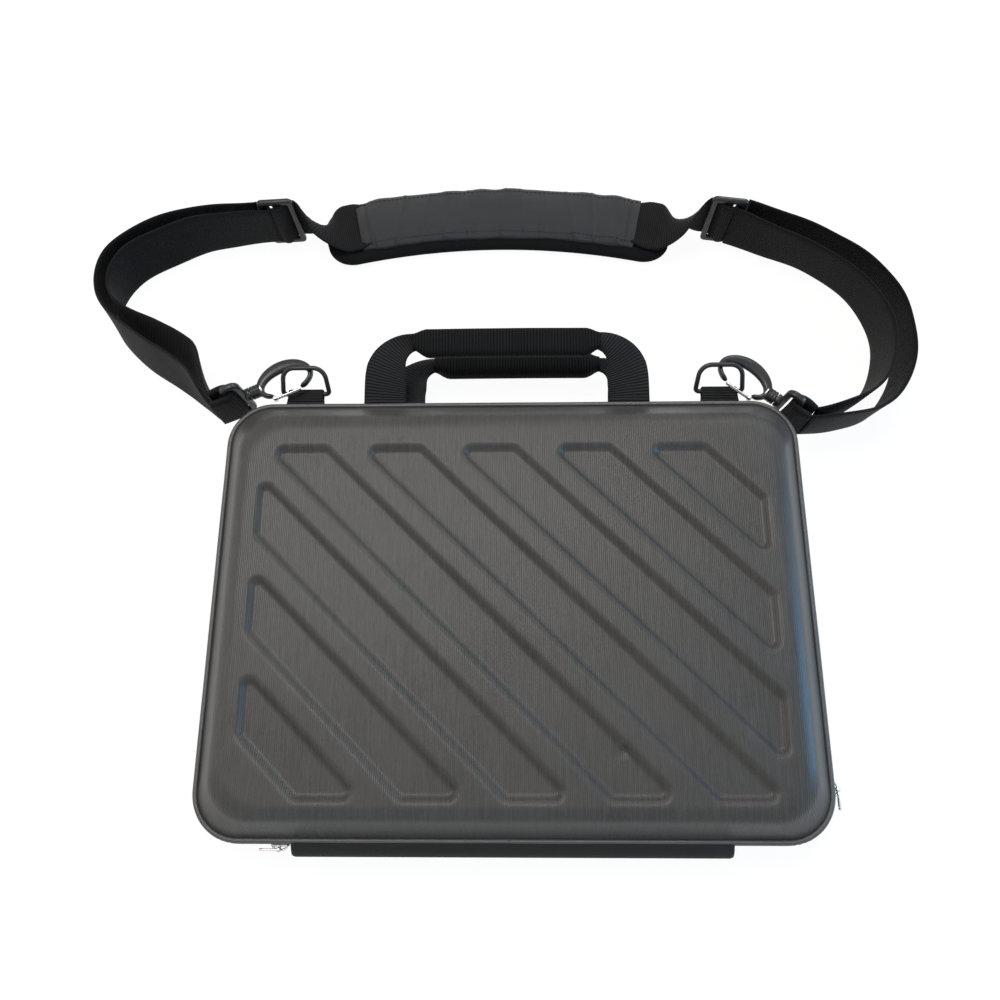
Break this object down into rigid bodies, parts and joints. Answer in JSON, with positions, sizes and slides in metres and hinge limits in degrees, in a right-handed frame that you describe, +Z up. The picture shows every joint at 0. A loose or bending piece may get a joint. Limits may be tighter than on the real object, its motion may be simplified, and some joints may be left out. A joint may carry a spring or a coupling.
{
  "type": "laptop hard case",
  "caption": "Moulded clamshell laptop case with diagonal sunk panels, zip, paired carry handles, and a padded shoulder strap clipped to two rings.",
  "frame": {"origin": "middle of the underside, on the surface that the case lies on", "axes": "+X along the hinge, +Y from the hinge towards the handles, +Z up through the lid"},
  "size_m": [0.5366, 0.4411, 0.06],
  "materials": {
    "shell_laminate": "moulded foam laminate with a coated, finely ribbed cloth face, dark warm grey, satin",
    "binding": "black woven binding and hinge cloth",
    "zip_tape": "black herringbone tape",
    "zip_coil": "black nylon coil",
    "zip_metal": "nickel-plated zinc, slightly worn",
    "lining": "brushed grey lining cloth over foam",
    "guard": "black elastic webbing",
    "webbing": "black cross-ribbed nylon webbing",
    "grip_cloth": "black ribbed webbing sewn round foam",
    "pad_cloth": "black brushed felt over foam",
    "sleeve_cloth": "black plain-woven nylon, slightly puckered, no lettering",
    "black_metal": "black-coated steel wire",
    "hook_black": "black acetal, satin",
    "gate_steel": "bright spring wire"
  },
  "bodies": {
    "base": {"base_shell": "shell_laminate", "base_binding": "binding", "base_zip_tape": "zip_tape", "base_zip_coil": "zip_coil", "zip_stops": "zip_metal", "hinge_leaf_base": "binding", "hinge_cord": "binding", "base_lining": "lining", "laptop_bed": "lining", "retaining_band": "guard", "corner_guard_near_left": "guard", "corner_guard_far_left": "guard", "corner_guard_near_right": "guard", "corner_guard_far_right": "guard", "rear_handle_anchors": "webbing", "ring_tab_left": "webbing", "ring_tab_right": "webbing", "hook_eye_left": "hook_black", "hook_eye_right": "hook_black", "strap_end_left": "webbing", "strap_end_right": "webbing", "strap_left_outer": "webbing", "strap_left_return": "webbing", "strap_right_outer": "webbing", "strap_right_return": "webbing", "adjuster_left": "hook_black", "adjuster_right": "hook_black", "strap_twist_left": "webbing", "strap_twist_right": "webbing", "strap_pad_run": "webbing", "shoulder_pad": "pad_cloth", "pad_sleeve": "sleeve_cloth"},
    "lid": {"lid_shell": "shell_laminate", "lid_binding": "binding", "lid_zip_tape": "zip_tape", "lid_zip_coil": "zip_coil", "hinge_leaf_lid": "binding", "lid_lining": "lining", "lid_pocket": "lining", "lid_pocket_hem": "guard", "front_handle_anchors": "webbing"},
    "front_handle": {"front_handle": "webbing", "front_grip": "grip_cloth"},
    "rear_handle": {"rear_handle": "webbing", "rear_grip": "grip_cloth"},
    "slider_right": {"zip_slider_right": "zip_metal"},
    "pull_right": {"zip_pull_right": "zip_metal"},
    "slider_left": {"zip_slider_left": "zip_metal"},
    "pull_left": {"zip_pull_left": "zip_metal"},
    "ring_left": {"d_ring_left": "black_metal"},
    "ring_right": {"d_ring_right": "black_metal"},
    "snap_left": {"hook_left": "hook_black"},
    "snap_right": {"hook_right": "hook_black"},
    "gate_left": {"hook_gate_left": "gate_steel"},
    "gate_right": {"hook_gate_right": "gate_steel"}
  },
  "joints": [
    {"name": "lid_hinge", "type": "hinge", "parent": "base", "child": "lid", "pos_m": [0, -0.1335, 0.03], "axis": [1, 0, 0], "range_deg": [0, 180]},
    {"name": "front_handle_fold", "type": "hinge", "parent": "lid", "child": "front_handle", "pos_m": [0, 0.1307, 0.036], "axis": [1, 0, 0], "range_deg": [0, 78]},
    {"name": "rear_handle_fold", "type": "hinge", "parent": "base", "child": "rear_handle", "pos_m": [0, 0.1307, 0.024], "axis": [1, 0, 0], "range_deg": [0, 14]},
    {"name": "right_slider_run", "type": "slide", "parent": "base", "child": "slider_right", "axis": [0, 1, 0], "range_m": [0, 0.18]},
    {"name": "right_pull_swing", "type": "hinge", "parent": "slider_right", "child": "pull_right", "pos_m": [0.17893, -0.1, 0.0315], "axis": [0, 0, 1], "range_deg": [0, 160]},
    {"name": "left_slider_run", "type": "slide", "parent": "base", "child": "slider_left", "axis": [-1, 0, 0], "range_m": [0, 0.014]},
    {"name": "left_pull_swing", "type": "hinge", "parent": "slider_left", "child": "pull_left", "pos_m": [-0.127, -0.13192, 0.0315], "axis": [0, 0, 1], "range_deg": [0, 150]},
    {"name": "left_ring_swing", "type": "hinge", "parent": "base", "child": "ring_left", "pos_m": [-0.132, 0.141, 0.024], "axis": [1, 0, 0], "range_deg": [0, 14]},
    {"name": "right_ring_swing", "type": "hinge", "parent": "base", "child": "ring_right", "pos_m": [0.133, 0.141, 0.024], "axis": [1, 0, 0], "range_deg": [0, 14]},
    {"name": "left_hook_swivel", "type": "hinge", "parent": "base", "child": "snap_left", "pos_m": [-0.166, 0.139, 0.03], "axis": [0.9249, 0.3737, 0.0698], "range_deg": [-10, 0]},
    {"name": "right_hook_swivel", "type": "hinge", "parent": "base", "child": "snap_right", "pos_m": [0.1666, 0.1327, 0.03], "axis": [-0.7967, 0.6003, 0.0698], "range_deg": [0, 5.5]},
    {"name": "left_gate_press", "type": "hinge", "parent": "snap_left", "child": "gate_left", "pos_m": [-0.14995, 0.1347, 0.03093], "axis": [-0.0647, -0.0261, 0.9976], "range_deg": [0, 18], "stiffness_Nm_per_rad": 0.02, "springref_deg": -8.59},
    {"name": "right_gate_press", "type": "hinge", "parent": "snap_right", "child": "gate_right", "pos_m": [0.14999, 0.1327, 0.03093], "axis": [-0.0557, 0.042, -0.9976], "range_deg": [0, 18], "stiffness_Nm_per_rad": 0.02, "springref_deg": -8.59}
  ]
}
